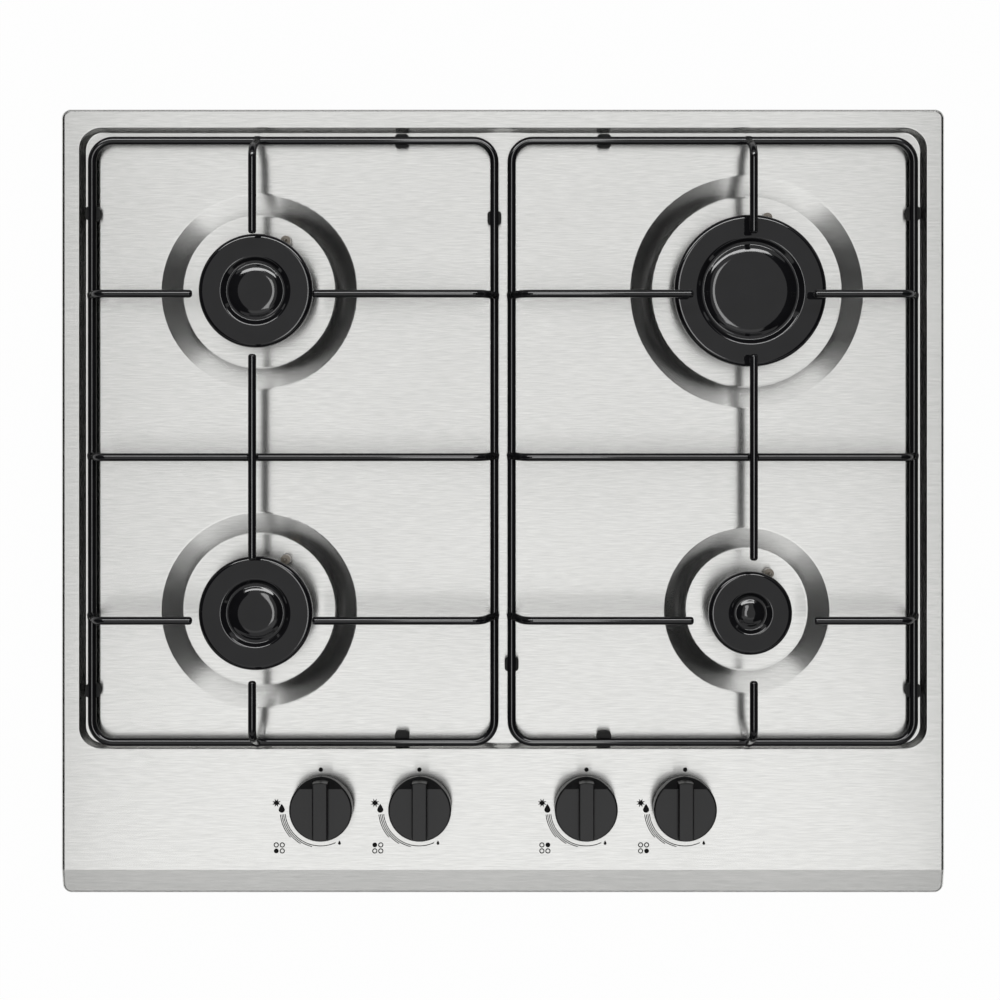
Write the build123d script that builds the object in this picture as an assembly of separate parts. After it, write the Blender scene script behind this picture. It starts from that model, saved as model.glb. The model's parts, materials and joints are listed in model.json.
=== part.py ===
from build123d import *

import os
from collections import namedtuple
from math import atan, cos, degrees, pi, radians, sin

# Built-in gas cooktop with four burners, two wire pan supports and four front knobs.
# Millimetres. +Z is up, +X is to the right and +Y is to the rear. The origin is in the plane
# of the worktop, in the middle of the plate, so the plate's seal rests on z = 0.

# ---------------------------------------------------------------- driving dimensions
# The pressed steel plate
PLATE_W = 585.0
PLATE_D = 520.0
PLATE_CORNER_R = 6.0
RIM_Z = 8.0
SHEET = 0.8
EDGE_R = 2.4
RETURN_W = 9.0
BEVEL_RUN = 16.5
BEVEL_DROP = 4.0
WELL_BORDER = 12.5
PANEL_D = 96.8
WELL_DEPTH = 6.0
WELL_RUN = 2.0
WELL_CORNER_R = 14.0
WELL_LIP_R = 1.6
WELL_FOOT_R = 1.6
DISH_DEPTH = 5.5
DISH_RUN = 14.3
DISH_MARGIN = 13.3
DISH_FOOT_R = 4.0
DISH_LIP_R = 3.0

# The seal between the plate and the worktop
SEAL_T = 2.0
SEAL_W = 7.0
SEAL_INSET = 2.0

# The base pan that hangs in the worktop's cut-out
PAN_SIDE_INSET = 22.5
PAN_FRONT_INSET = 25.0
PAN_REAR_INSET = 38.0
PAN_BOTTOM_Z = -45.0
PAN_SHEET = 0.8
PAN_CORNER_R = 5.0
PAN_STEP = 9.0

# Brackets, screws and worktop clamps
BRACKET_T = 1.5
BRACKET_W = 16.0
BRACKET_LEG = 12.0
BRACKET_SIDE_Y = 110.0
BRACKET_END_X = 150.0
SCREW_R = 1.9
SCREW_HEAD_R = 3.6
SCREW_HEAD_H = 2.0
SCREW_CROSS_R = 2.2
SCREW_CROSS_W = 0.8
SCREW_CROSS_D = 1.0
SCREW_GAP = 0.15
BRACKET_SCREW_L = 6.0
CLAMP_SCREW_L = 8.0
CLAMP_SCREW_RISE = 4.0
CLAMP_Y = 165.0
CLAMP_W = 18.0
CLAMP_T = 2.0
CLAMP_TOP_Z = -12.0
CLAMP_FOOT_Z = -42.0
CLAMP_REACH = 17.0
CLAMP_TOE = 5.0

# Burners: places, cap radii and castings
BURNER_SIDE_INSET = 130.0
BURNER_REAR_INSET = 120.6
BURNER_FRONT_INSET = 187.5
RAPID_CAP_R = 50.0
SEMI_CAP_R = 37.5
AUX_CAP_R = 27.5
RAPID_RIM_R = 27.0
SEMI_RIM_R = 19.0
AUX_RIM_R = 12.5
CAP_TOP_Z = 18.5
CAP_T = 5.5
CAP_EDGE_R = 2.8
CAP_LAND_W = 15.1
AUX_CAP_LAND_W = 13.7
CAP_LIP_R = 0.9
CAP_WALL_RUN = 3.0
CAP_GROOVE_RUN = 1.6
CAP_SLOPE_RUN = 5.0
CAP_GROOVE_D = 1.9
CAP_MIDDLE_DROP = 0.5
CAP_MIDDLE_R = 1.6
CAP_UNDER_CHAMFER = 0.8
CAP_RING_H = 2.5
CAP_RING_T = 2.0
CAP_OVERHANG = 4.0
CROWN_WALL = 4.5
CROWN_FLOOR_T = 3.0
CROWN_RELIEF = 1.2
CROWN_NECK_T = 2.0
CROWN_NECK_L = 10.0
CROWN_FOOT_RUN = 1.0
CROWN_FOOT_RISE = 2.0
CROWN_FILLET = 1.5
PORT_W = 1.8
PORT_DEPTH = 6.0
PORT_PITCH = 7.5
CUP_RIM_RISE = 2.0
CUP_RIM_T = 3.0
CUP_FLANGE_T = 3.0
CUP_FLANGE_MARGIN = 4.5
CUP_BODY_T = 2.5
CUP_CHAMBER_Z = -21.0
CUP_BOTTOM_Z = -36.5
CUP_BOSS_R = 7.0
CUP_BOSS_L = 12.0
CUP_SCREW_L = 9.0
CUP_SCREW_BOSS_T = 2.2
CUP_SCREW_BOSS_L = 4.0
FIT_GAP = 0.3
SLIDE_GAP = 0.08

# Injectors and spark igniters
INJECTOR_HEX = 7.0
INJECTOR_HEAD_H = 4.0
INJECTOR_R = 2.8
INJECTOR_BORE_R = 0.6
IGNITER_OUT = 1.0
IGNITER_R = 3.2
IGNITER_TOP_Z = 5.0
IGNITER_BOTTOM_Z = -23.0
IGNITER_COLLAR_R = 4.8
IGNITER_COLLAR_H = 2.5
IGNITER_SHOULDER_W = 1.2
IGNITER_LUG_R = 6.2
ELECTRODE_R = 1.0
ELECTRODE_RISE = 4.5

# Gas rail, taps and pipes, all with their gas ways at one height
GAS_Z = -29.0
RAIL_SIDE = 14.0
RAIL_WALL = 1.5
RAIL_FRONT_INSET = 9.0
RAIL_SIDE_INSET = 20.0
RAIL_LEFT_X = -140.0
RAIL_BRACKET_X = 88.0
GAS_WAY_R = 2.2
PIPE_R = 4.0
PIPE_BORE_R = 3.0
PIPE_BEND_R = 14.0
PIPE_SOCKET = 5.0
PIPE_REAR_RUN = 90.0
NUT_FLATS = 13.0
NUT_L = 8.0
TAP_X_INNER = 54.5
TAP_X_OUTER = 119.3
TAP_INSET = 59.4
TAP_R = 10.5
TAP_BOTTOM_Z = -40.0
TAP_JOINT_Z = -14.0
BONNET_R = 9.0
BONNET_TOP_Z = -3.0
BONNET_ROOF_T = 3.0
TAP_OUTLET_R = 7.0
TAP_OUTLET_L = 18.0
PLUG_TOP_R = 6.6
PLUG_BOTTOM_R = 4.8
PLUG_BOTTOM_Z = -37.0
PLUG_TOP_Z = -16.0
PLUG_PORT_R = 1.6
PLUG_PORT_RISE = 3.5
PLUG_GAP = 0.05
SPRING_R = 5.0
SPRING_T = 1.4

# Spindles, knobs and their seals
PUSH_TRAVEL = 4.0
SPINDLE_R = 3.0
SPINDLE_FLAT = 2.1
SPINDLE_COLLAR_R = 5.4
SPINDLE_COLLAR_H = 1.6
SOCKET_DEPTH = 9.0
SPINDLE_END_GAP = 0.6
SWITCH_W = 24.0
SWITCH_D = 17.0
SWITCH_H = 5.0
SWITCH_HOLE_R = 4.0
GROMMET_HOLE_R = 6.0
GROMMET_LIP_R = 8.0
GROMMET_LIP_T = 1.0
KNOB_R = 20.6
KNOB_CLEAR = 0.6
KNOB_BODY_H = 9.0
KNOB_EDGE_R = 1.2
KNOB_BAR_W = 9.7
KNOB_BAR_H = 5.0
KNOB_BAR_INSET = 1.5
KNOB_BAR_EDGE_R = 0.8
KNOB_GROOVE_W = 0.7
KNOB_GROOVE_D = 0.8
KNOB_SLOPE_RUN = 6.6
KNOB_SLOPE_DROP = 7.6
KNOB_WALL = 2.0
KNOB_HOLLOW_H = 2.6
KNOB_HUB_R = 6.0

# Pan supports
RIM_WIRE_R = 2.75
BAR_R = 2.6
SUPPORT_GAP = 11.4
SUPPORT_MARGIN = 8.1
SUPPORT_REAR_MARGIN = 8.5
SUPPORT_FRONT_MARGIN = 4.3
SUPPORT_CORNER_R = 14.0
RIM_WIRE_Z = 8.0
BAR_Z = 32.0
LEG_RUN = 8.0
LEG_BEND_R = 8.0
FINGER_SHIFT = 2.7
FINGER_GAP_R = 39.0
CROSS_BAR_SHIFT = 2.95
FINGER_TIP_R = 1.8
FOOT_W = 9.2
FOOT_CORNER_R = 2.5
FOOT_CHAMFER = 1.1
FOOT_FRONT_SHIFT = 2.3
FOOT_X = 67.0
FOOT_SIDE_REAR_INSET = 48.0
FOOT_SIDE_FRONT_INSET = 33.9
FOOT_INNER_REAR_INSET = 51.0
FOOT_INNER_FRONT_INSET = 51.4

# Ignition box, its leads, the gas inlet and the cable gland
SPARK_W = 60.0
SPARK_D = 44.0
SPARK_H = 24.0
SPARK_CORNER_R = 3.0
SPARK_REAR_INSET = 72.0
TERMINAL_R = 2.5
TERMINAL_L = 6.0
TERMINAL_PITCH = 20.0
LEAD_R = 1.25
LEAD_Z = -40.0
LEAD_BEND_R = 7.0
LEAD_FRONT_X = 95.0
INLET_HEX = 24.0
INLET_HEX_L = 12.0
INLET_NECK_R = 9.2
INLET_NECK_L = 2.0
INLET_THREAD_R = 10.48
INLET_THREAD_L = 16.0
INLET_BORE_R = 5.0
WALL_HOLE_GAP = 0.3
GLAND_SIDE_INSET = 70.0
GLAND_Z = -26.0
GLAND_R = 10.0
GLAND_STEM_R = 7.0
GLAND_BORE_R = 3.5
GLAND_HEAD_L = 9.0
GLAND_NUT_L = 5.0

# ---------------------------------------------------------------- derived places
WELL_Z = RIM_Z - WELL_DEPTH
DISH_Z = WELL_Z - DISH_DEPTH
UNDER_RIM_Z = RIM_Z - SHEET
UNDER_WELL_Z = WELL_Z - SHEET
UNDER_DISH_Z = DISH_Z - SHEET
WELL_W = PLATE_W - 2 * WELL_BORDER
WELL_REAR_Y = PLATE_D / 2 - WELL_BORDER
WELL_FRONT_Y = -PLATE_D / 2 + PANEL_D
WELL_D = WELL_REAR_Y - WELL_FRONT_Y
WELL_MID_Y = (WELL_REAR_Y + WELL_FRONT_Y) / 2
BURNER_X = PLATE_W / 2 - BURNER_SIDE_INSET
REAR_BURNER_Y = PLATE_D / 2 - BURNER_REAR_INSET
FRONT_BURNER_Y = -PLATE_D / 2 + BURNER_FRONT_INSET
CUP_TOP_Z = DISH_Z + CUP_RIM_RISE
CAP_SEAT_Z = CAP_TOP_Z - CAP_T
PAN_W = PLATE_W - 2 * PAN_SIDE_INSET
PAN_FRONT_Y = -PLATE_D / 2 + PAN_FRONT_INSET
PAN_REAR_Y = PLATE_D / 2 - PAN_REAR_INSET
PAN_FLOOR_Z = PAN_BOTTOM_Z + PAN_SHEET
PAN_D = PAN_REAR_Y - PAN_FRONT_Y
PAN_MID_Y = (PAN_REAR_Y + PAN_FRONT_Y) / 2
PAN_STEP_Y = WELL_FRONT_Y - PAN_STEP
RAIL_X = PAN_W / 2 - RAIL_SIDE_INSET
RAIL_Y = PAN_FRONT_Y + RAIL_FRONT_INSET
GLAND_X = -PAN_W / 2 + GLAND_SIDE_INSET
SPARK_Y = PAN_REAR_Y - SPARK_REAR_INSET
TAP_Y = -PLATE_D / 2 + TAP_INSET
KNOB_BASE_Z = RIM_Z + GROMMET_LIP_T + PUSH_TRAVEL + KNOB_CLEAR
KNOB_BODY_TOP_Z = KNOB_BASE_Z + KNOB_BODY_H
KNOB_TOP_Z = KNOB_BODY_TOP_Z + KNOB_BAR_H
SPINDLE_TOP_Z = KNOB_TOP_Z - KNOB_WALL - SPINDLE_END_GAP
COLLAR_TOP_Z = BONNET_TOP_Z - BONNET_ROOF_T - FIT_GAP
COLLAR_Z = COLLAR_TOP_Z - SPINDLE_COLLAR_H
SPINDLE_BOTTOM_Z = PLUG_TOP_Z - SOCKET_DEPTH + PUSH_TRAVEL + SPINDLE_END_GAP
TAP_REAR_Y = TAP_Y + TAP_OUTLET_L
SUPPORT_OUTER_X = PLATE_W / 2 - WELL_BORDER - SUPPORT_MARGIN
SUPPORT_INNER_X = SUPPORT_GAP / 2
SUPPORT_REAR_Y = WELL_REAR_Y - SUPPORT_REAR_MARGIN
SUPPORT_FRONT_Y = WELL_FRONT_Y + SUPPORT_FRONT_MARGIN
CROSS_BAR_Y = (REAR_BURNER_Y + FRONT_BURNER_Y) / 2 - CROSS_BAR_SHIFT

Burner = namedtuple("Burner", "name x y cap_r rim_r igniter_deg tap_x")
BURNERS = [
    Burner("front_left", -BURNER_X, FRONT_BURNER_Y, SEMI_CAP_R, SEMI_RIM_R, 62, -TAP_X_OUTER),
    Burner("rear_left", -BURNER_X, REAR_BURNER_Y, SEMI_CAP_R, SEMI_RIM_R, 62, -TAP_X_INNER),
    Burner("rear_right", BURNER_X, REAR_BURNER_Y, RAPID_CAP_R, RAPID_RIM_R, 75, TAP_X_INNER),
    Burner("front_right", BURNER_X, FRONT_BURNER_Y, AUX_CAP_R, AUX_RIM_R, 60, TAP_X_OUTER),
]


def crown_r(burner):
    return burner.cap_r - CAP_OVERHANG


def crown_inner_r(burner):
    return crown_r(burner) - CROWN_WALL


def dish_r(burner):
    return burner.cap_r + DISH_MARGIN


def igniter_place(burner):
    reach = burner.cap_r + IGNITER_OUT
    turn = radians(burner.igniter_deg)
    return burner.x + reach * cos(turn), burner.y + reach * sin(turn)


def cup_screw_places(burner):
    """Two screws under the crown, square to the igniter."""
    reach = (burner.rim_r + crown_r(burner)) / 2
    for side in (-90, 90):
        turn = radians(burner.igniter_deg + side)
        yield burner.x + reach * cos(turn), burner.y + reach * sin(turn)


def cup_inlet_y(burner):
    return burner.y - burner.rim_r - CUP_BODY_T - CUP_BOSS_L


# ---------------------------------------------------------------- shared shapes
def cyl(x, y, z_low, z_high, radius):
    low = (Align.CENTER, Align.CENTER, Align.MIN)
    return Pos(x, y, z_low) * Cylinder(radius, z_high - z_low, align=low)


def ring(x, y, z_low, z_high, outer, inner):
    return cyl(x, y, z_low, z_high, outer) - cyl(x, y, z_low, z_high, inner)


def block(x_low, x_high, y_low, y_high, z_low, z_high):
    size = Box(x_high - x_low, y_high - y_low, z_high - z_low)
    return Pos((x_low + x_high) / 2, (y_low + y_high) / 2, (z_low + z_high) / 2) * size


def rod_y(x, z, y_low, y_high, radius):
    """A round bar along Y."""
    return extrude(Plane.XZ.offset(-y_low) * Pos(x, z) * Circle(radius), -(y_high - y_low))


def hex_y(x, z, y_low, y_high, flats):
    outline = RegularPolygon(flats / 2, 6, major_radius=False)
    return extrude(Plane.XZ.offset(-y_low) * Pos(x, z) * outline, -(y_high - y_low))


def slab(width, depth, corner, mid_y, z_low, z_high):
    """A flat block with rounded plan corners."""
    outline = Plane.XY.offset(z_low) * Pos(0, mid_y) * RectangleRounded(width, depth, corner)
    return extrude(outline, z_high - z_low)


def turned(points):
    """A full turn of an outline of (radius, height) points about Z."""
    return revolve(Plane.XZ * make_face(Polyline(*points, close=True)), Axis.Z)


def tube(points, bend_r, outer, inner=0.0):
    """A round bar or pipe along straight runs joined by arcs."""
    path = FilletPolyline(*points, radius=bend_r) if len(points) > 2 else Line(*points)
    section = Circle(outer) - Circle(inner) if inner else Circle(outer)
    return sweep(Plane(origin=path @ 0, z_dir=path % 0) * section, path)


def screw_down(x, y, z_seat, length):
    """A pan head screw with its head on z_seat and its shank below."""
    head = cyl(x, y, z_seat, z_seat + SCREW_HEAD_H, SCREW_HEAD_R)
    head = fillet(head.edges().filter_by(GeomType.CIRCLE).sort_by(Axis.Z)[-1], SCREW_HEAD_H / 3)
    high = z_seat + SCREW_HEAD_H
    low = high - SCREW_CROSS_D
    half = SCREW_CROSS_W / 2
    reach = SCREW_CROSS_R
    cross = block(x - reach, x + reach, y - half, y + half, low, high)
    cross += block(x - half, x + half, y - reach, y + reach, low, high)
    return head + cyl(x, y, z_seat - length, z_seat, SCREW_R) - cross


def screw_into_wall(place, outward, length):
    """The same screw, lying so that its head faces outward from a wall."""
    upright = screw_down(0, 0, 0, length)
    return Plane(origin=place, z_dir=outward) * upright


# ---------------------------------------------------------------- plate and seal
def plate_block(inset, edge_r, z_low):
    """The plate's outer form, made smaller by inset on the sides and the top."""
    top = RIM_Z - inset
    body = slab(PLATE_W - 2 * inset, PLATE_D - 2 * inset, PLATE_CORNER_R - inset, 0, z_low, top)
    front = -PLATE_D / 2
    slope = BEVEL_DROP / BEVEL_RUN
    drop = inset * (1 + slope**2) ** 0.5
    high_y = front + BEVEL_RUN + (drop - inset) / slope
    reach = BEVEL_RUN
    wedge = Polyline(
        (high_y, top),
        (front - reach, top - (high_y - front + reach) * slope),
        (front - reach, top + reach),
        (high_y, top + reach),
        close=True,
    )
    body -= extrude(Plane.YZ * make_face(wedge), PLATE_W, both=True)
    if edge_r > 0:
        rim = [e for e in body.edges() if plate_edge(e, z_low, high_y, top)]
        body = fillet(rim, edge_r)
    return body


def plate_edge(edge, z_low, high_y, top):
    """True for the upper outer edges, which are rolled over."""
    middle = edge.center()
    across_bevel = abs(middle.Y - high_y) < 0.01 and abs(middle.X) < 1
    upright = abs((edge @ 0).Z - (edge @ 1).Z) > 0 and edge.geom_type == GeomType.LINE
    upright = upright and abs((edge @ 0).Y - (edge @ 1).Y) < 1e-6
    return middle.Z > z_low + 0.01 and not across_bevel and not upright


def well_pocket(grow, foot_r):
    """The tapered recess that holds the burners, or its outside when grow is the sheet."""
    floor_w = WELL_W - 2 * WELL_RUN + 2 * grow
    floor_d = WELL_D - 2 * WELL_RUN + 2 * grow
    corner = WELL_CORNER_R - WELL_RUN + grow
    floor_z = WELL_Z - grow
    lean = degrees(atan(WELL_RUN / WELL_DEPTH))
    outline = Plane.XY.offset(floor_z) * Pos(0, WELL_MID_Y) * RectangleRounded(floor_w, floor_d, corner)
    pocket = extrude(outline, RIM_Z - floor_z, taper=-lean)
    if foot_r > 0:
        pocket = fillet(pocket.edges().group_by(Axis.Z)[0], foot_r)
    return pocket


def dish_pocket(burner, grow, foot_r):
    """The round dish around a burner."""
    slope = DISH_RUN / DISH_DEPTH
    floor_r = dish_r(burner) + grow
    floor_z = DISH_Z - grow
    height = WELL_Z - floor_z
    low = (Align.CENTER, Align.CENTER, Align.MIN)
    cone = Cone(floor_r, floor_r + slope * height, height, align=low)
    if foot_r > 0:
        cone = fillet(cone.edges().group_by(Axis.Z)[0], foot_r)
    return Pos(burner.x, burner.y, floor_z) * cone


def top_plate():
    outside = plate_block(0, EDGE_R, SEAL_T)
    cavity = plate_block(SHEET, 0, SEAL_T + SHEET)
    mouth = slab(
        PLATE_W - 2 * RETURN_W, PLATE_D - 2 * RETURN_W, PLATE_CORNER_R, 0, SEAL_T - 1, SEAL_T + SHEET
    )
    shell = outside - cavity - mouth
    shell += well_pocket(SHEET, 0)
    for burner in BURNERS:
        shell += dish_pocket(burner, SHEET, 0)
    shell -= well_pocket(0, WELL_FOOT_R)
    for burner in BURNERS:
        shell -= dish_pocket(burner, 0, DISH_FOOT_R)
    shell = fillet(lip_edges(shell, RIM_Z, WELL_W, WELL_D, WELL_MID_Y), WELL_LIP_R)
    shell = fillet(dish_lips(shell), DISH_LIP_R)
    for burner in BURNERS:
        shell -= cyl(burner.x, burner.y, UNDER_DISH_Z - 1, DISH_Z + 1, burner.rim_r + FIT_GAP)
        shell -= cyl(*igniter_place(burner), UNDER_DISH_Z - 1, DISH_Z + 1, IGNITER_R + FIT_GAP)
        for place in cup_screw_places(burner):
            shell -= cyl(*place, UNDER_DISH_Z - 1, DISH_Z + 1, SCREW_R + SCREW_GAP)
        shell -= cyl(burner.tap_x, TAP_Y, UNDER_RIM_Z - 1, RIM_Z + 1, GROMMET_HOLE_R)
    return shell


def lip_edges(shell, z, width, depth, mid_y):
    """The edges at height z that lie on a rectangle's outline."""
    found = []
    for edge in shell.edges():
        if abs((edge @ 0).Z - z) > 0.01 or abs((edge @ 1).Z - z) > 0.01:
            continue
        place = edge @ 0.5
        inside_x = abs(place.X) < width / 2 + 0.1
        inside_y = abs(place.Y - mid_y) < depth / 2 + 0.1
        if inside_x and inside_y:
            found.append(edge)
    return found


def dish_lips(shell):
    """The round upper edges of the dishes, at the well's floor."""
    found = []
    for edge in shell.edges().filter_by(GeomType.CIRCLE):
        if abs((edge @ 0).Z - WELL_Z) < 0.01 and edge.radius > AUX_CAP_R:
            found.append(edge)
    return found


def worktop_seal():
    outer = 2 * SEAL_INSET
    inner = outer + 2 * SEAL_W
    corner = PLATE_CORNER_R
    strip = slab(PLATE_W - outer, PLATE_D - outer, corner, 0, 0, SEAL_T)
    return strip - slab(PLATE_W - inner, PLATE_D - inner, corner / 2, 0, 0, SEAL_T)


# ---------------------------------------------------------------- base pan and fixings
def wall_brackets():
    """Each place where the pan is screwed to the plate: a point on the wall and its outward way."""
    side = PAN_W / 2
    for y in (BRACKET_SIDE_Y, -BRACKET_SIDE_Y):
        yield (-side, y), (-1, 0), UNDER_WELL_Z
        yield (side, y), (1, 0), UNDER_WELL_Z
    for x in (-BRACKET_END_X, BRACKET_END_X):
        yield (x, PAN_FRONT_Y), (0, -1), UNDER_RIM_Z
    yield (0, PAN_REAR_Y), (0, 1), UNDER_WELL_Z


def clamp_places():
    for y in (CLAMP_Y, -CLAMP_Y):
        yield (-PAN_W / 2, y), (-1, 0)
        yield (PAN_W / 2, y), (1, 0)


def wall_hole(place, outward, z, radius):
    axis = Plane(origin=(place[0], place[1], z), z_dir=(outward[0], outward[1], 0))
    return axis * Cylinder(radius, 8 * PAN_SHEET)


def base_pan():
    outside = slab(PAN_W, PAN_D, PAN_CORNER_R, PAN_MID_Y, PAN_BOTTOM_Z, UNDER_RIM_Z)
    inner = 2 * PAN_SHEET
    inside = slab(
        PAN_W - inner, PAN_D - inner, PAN_CORNER_R - PAN_SHEET, PAN_MID_Y, PAN_FLOOR_Z, RIM_Z
    )
    pan = outside - inside
    pan -= block(-PAN_W, PAN_W, PAN_STEP_Y, PLATE_D, UNDER_WELL_Z, RIM_Z)
    for place, outward, top in wall_brackets():
        pan -= wall_hole(place, outward, bracket_hole_z(top), SCREW_R + SCREW_GAP)
    for place, outward in clamp_places():
        pan -= wall_hole(place, outward, clamp_hole_z(), SCREW_R + SCREW_GAP)
    inlet = Plane(origin=(RAIL_X, PAN_REAR_Y, GAS_Z), z_dir=(0, 1, 0))
    pan -= inlet * Cylinder(INLET_THREAD_R + WALL_HOLE_GAP, 8 * PAN_SHEET)
    gland = Plane(origin=(GLAND_X, PAN_REAR_Y, GLAND_Z), z_dir=(0, 1, 0))
    pan -= gland * Cylinder(GLAND_STEM_R + WALL_HOLE_GAP, 8 * PAN_SHEET)
    return pan


def bracket_hole_z(top):
    return top - (BRACKET_LEG + BRACKET_T) / 2


def clamp_hole_z():
    return (CLAMP_TOP_Z + CLAMP_FOOT_Z) / 2 + CLAMP_SCREW_RISE


def against_wall(place, outward, shape):
    """Put a shape made at a wall facing +Y, with its seat at y = 0, on another wall."""
    turn = degrees_of(outward) - 90
    return Pos(place[0], place[1], 0) * Rot(0, 0, turn) * shape


def degrees_of(outward):
    return {(1, 0): 0, (0, 1): 90, (-1, 0): 180, (0, -1): 270}[outward]


def base_pan_brackets():
    """Angle brackets inside the pan's walls, under the plate."""
    half = BRACKET_W / 2
    parts = []
    for place, outward, top in wall_brackets():
        inner = -PAN_SHEET
        leg = block(-half, half, inner - BRACKET_T, inner, top - BRACKET_LEG, top)
        leg += block(-half, half, inner - BRACKET_LEG, inner, top - BRACKET_T, top)
        bore = Plane(origin=(0, 0, bracket_hole_z(top)), z_dir=(0, 1, 0))
        leg -= bore * Cylinder(SCREW_R + SCREW_GAP, 4 * BRACKET_T)
        parts.append(against_wall(place, outward, leg))
    return parts


def base_pan_screws():
    parts = []
    for place, outward, top in wall_brackets():
        spot = (place[0], place[1], bracket_hole_z(top))
        parts.append(screw_into_wall(spot, (outward[0], outward[1], 0), BRACKET_SCREW_L))
    return parts


def worktop_clamps():
    """Stepped steel hooks on the side walls, which pull up under the worktop."""
    half = CLAMP_W / 2
    parts = []
    for place, outward in clamp_places():
        hook = block(-half, half, 0, CLAMP_T, CLAMP_FOOT_Z, CLAMP_TOP_Z)
        hook += block(-half, half, 0, CLAMP_REACH, CLAMP_FOOT_Z, CLAMP_FOOT_Z + CLAMP_T)
        toe_y = CLAMP_REACH - CLAMP_T
        hook += block(-half, half, toe_y, CLAMP_REACH, CLAMP_FOOT_Z, CLAMP_FOOT_Z + CLAMP_TOE)
        bore = Plane(origin=(0, 0, clamp_hole_z()), z_dir=(0, 1, 0))
        hook -= bore * Cylinder(SCREW_R + SCREW_GAP, 4 * CLAMP_T)
        parts.append(against_wall(place, outward, hook))
    return parts


def clamp_screws():
    parts = []
    for place, outward in clamp_places():
        spot_x = place[0] + outward[0] * CLAMP_T
        spot = (spot_x, place[1], clamp_hole_z())
        parts.append(screw_into_wall(spot, (outward[0], outward[1], 0), CLAMP_SCREW_L))
    return parts


# ---------------------------------------------------------------- burners
def burner_cup(burner):
    """The casting under the plate: it holds the crown, the injector and the igniter."""
    x = burner.x
    y = burner.y
    rim = burner.rim_r
    flange_r = (rim + crown_r(burner)) / 2 + CUP_FLANGE_MARGIN
    flange_low = UNDER_DISH_Z - CUP_FLANGE_T
    bore = rim - CUP_RIM_T
    cup = cyl(x, y, CUP_BOTTOM_Z, CUP_TOP_Z, rim)
    cup += cyl(x, y, flange_low, UNDER_DISH_Z, flange_r)
    cup += lug(burner, flange_low)
    for place in cup_screw_places(burner):
        boss_r = SCREW_R + CUP_SCREW_BOSS_T
        cup += cyl(*place, flange_low - CUP_SCREW_BOSS_L, UNDER_DISH_Z, boss_r)
    inlet_y = cup_inlet_y(burner)
    cup += rod_y(x, GAS_Z, inlet_y, y, CUP_BOSS_R)
    cup -= cyl(x, y, CUP_CHAMBER_Z, CUP_TOP_Z + 1, bore)
    cup -= cyl(x, y, GAS_Z, CUP_CHAMBER_Z, INJECTOR_R + SLIDE_GAP)
    cup -= rod_y(x, GAS_Z, inlet_y, y, GAS_WAY_R)
    cup -= rod_y(x, GAS_Z, inlet_y, inlet_y + PIPE_SOCKET, PIPE_R + SLIDE_GAP)
    for place in cup_screw_places(burner):
        boss_low = flange_low - CUP_SCREW_BOSS_L
        cup -= cyl(*place, boss_low - 1, UNDER_DISH_Z + 1, SCREW_R + SLIDE_GAP)
    cup -= cyl(*igniter_place(burner), flange_low - 1, UNDER_DISH_Z + 1, IGNITER_R + SLIDE_GAP)
    return cup


def lug(burner, z_low):
    """The arm that reaches from the flange to the igniter."""
    reach = burner.cap_r + IGNITER_OUT
    half = IGNITER_LUG_R
    arm = block(0, reach, -half, half, z_low, UNDER_DISH_Z) + cyl(reach, 0, z_low, UNDER_DISH_Z, half)
    arm = Pos(burner.x, burner.y, 0) * Rot(0, 0, burner.igniter_deg) * arm
    return arm


def burner_cup_screws():
    spots = [place for burner in BURNERS for place in cup_screw_places(burner)]
    return [screw_down(*spot, DISH_Z, CUP_SCREW_L) for spot in spots]


def injectors():
    parts = []
    for burner in BURNERS:
        head_top = CUP_CHAMBER_Z + INJECTOR_HEAD_H
        outline = Plane.XY.offset(CUP_CHAMBER_Z) * Pos(burner.x, burner.y)
        head = extrude(outline * RegularPolygon(INJECTOR_HEX / 2, 6, major_radius=False), INJECTOR_HEAD_H)
        jet = head + cyl(burner.x, burner.y, GAS_Z + GAS_WAY_R, CUP_CHAMBER_Z, INJECTOR_R)
        parts.append(jet - cyl(burner.x, burner.y, GAS_Z, head_top, INJECTOR_BORE_R))
    return parts


def igniter_insulators():
    """Ceramic rods through the plate, each with a collar under its cup's lug."""
    collar_top = UNDER_DISH_Z - CUP_FLANGE_T
    parts = []
    for burner in BURNERS:
        spot = igniter_place(burner)
        rod = cyl(*spot, IGNITER_BOTTOM_Z, IGNITER_TOP_Z, IGNITER_R)
        top = rod.edges().filter_by(GeomType.CIRCLE).sort_by(Axis.Z)[-1]
        rod = fillet(top, IGNITER_R - ELECTRODE_R - IGNITER_SHOULDER_W)
        rod += cyl(*spot, collar_top - IGNITER_COLLAR_H, collar_top, IGNITER_COLLAR_R)
        rod -= cyl(*spot, IGNITER_BOTTOM_Z, IGNITER_TOP_Z, ELECTRODE_R)
        parts.append(rod)
    return parts


def igniter_electrodes():
    """A pin in each insulator, which stands beside the crown's edge."""
    parts = []
    for burner in BURNERS:
        x, y = igniter_place(burner)
        pin = cyl(x, y, IGNITER_BOTTOM_Z, IGNITER_TOP_Z + ELECTRODE_RISE, ELECTRODE_R)
        tip = pin.edges().filter_by(GeomType.CIRCLE).sort_by(Axis.Z)[-1]
        parts.append(fillet(tip, ELECTRODE_R / 2))
    return parts


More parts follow.
